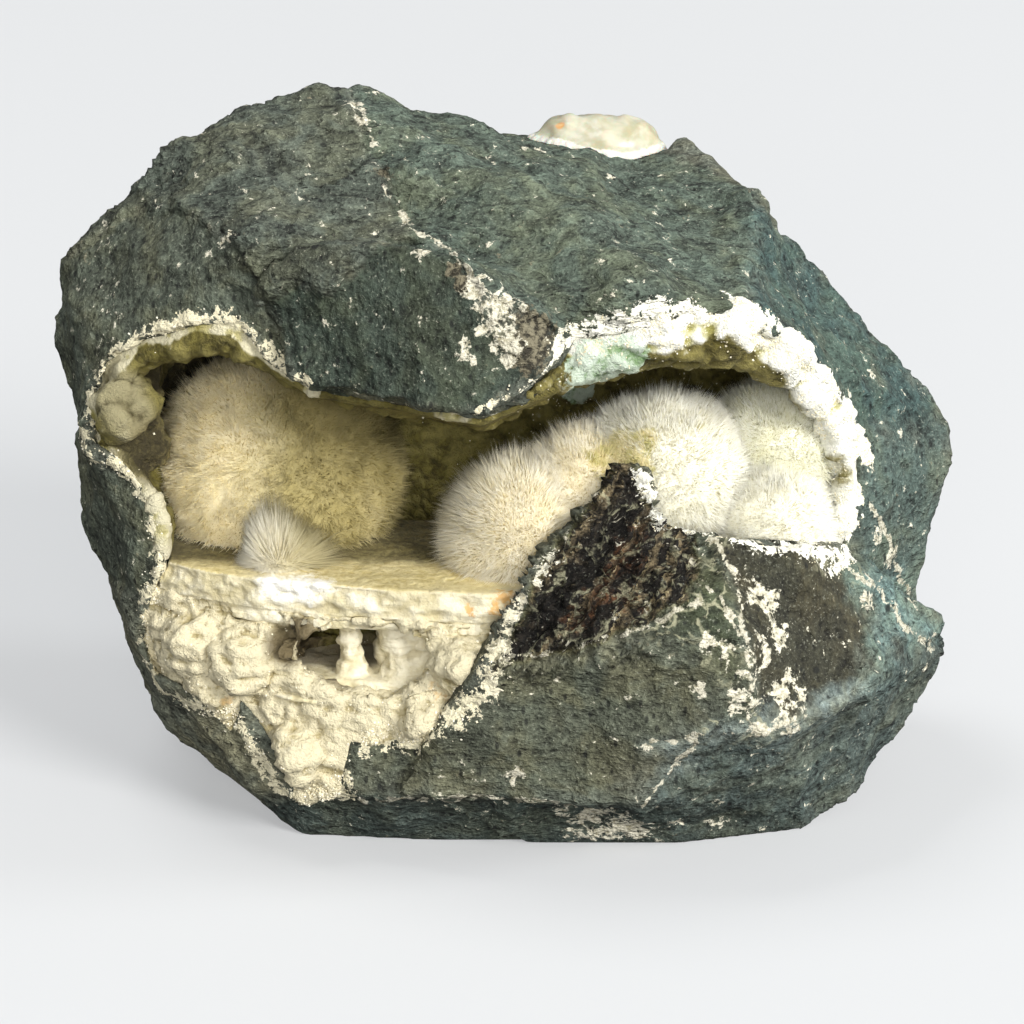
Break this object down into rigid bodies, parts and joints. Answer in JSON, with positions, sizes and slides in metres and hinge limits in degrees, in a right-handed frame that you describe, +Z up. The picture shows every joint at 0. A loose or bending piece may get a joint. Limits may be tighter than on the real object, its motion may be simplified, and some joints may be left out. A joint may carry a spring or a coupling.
{
  "type": "okenite puffball specimen",
  "caption": "Broken basalt block with an open vug: a pale druse and a layered shelf carry round balls of fine okenite needles.",
  "frame": {"origin": "under the middle of the specimen, on the flat broken base that it stands on", "axes": "+Z up, -Y out of the vug towards the viewer, +X to the viewer's right along the longest extent"},
  "size_m": [0.1272, 0.0914, 0.0991],
  "materials": {
    "basalt": "rough broken basalt, fine pits, grey-green with brown stains",
    "druse": "cream to white sugary crystals and small lumps, green-tinged in the right chamber",
    "shelf": "chalky cream layers with yellow and orange stains",
    "needles_cream": "fine soft needles, cream-yellow, silky",
    "needles_white": "fine soft needles, near white with cream shadows, silky",
    "dome": "pale yellow translucent domes, waxy"
  },
  "bodies": {
    "root": {"basalt_matrix": "basalt", "vug_druse": "druse", "layered_shelf": "shelf", "puffball_large": "needles_cream", "puffball_small": "needles_cream", "puffball_rear": "needles_white", "puffball_cluster": "needles_white", "top_dome": "dome"}
  },
  "joints": []
}
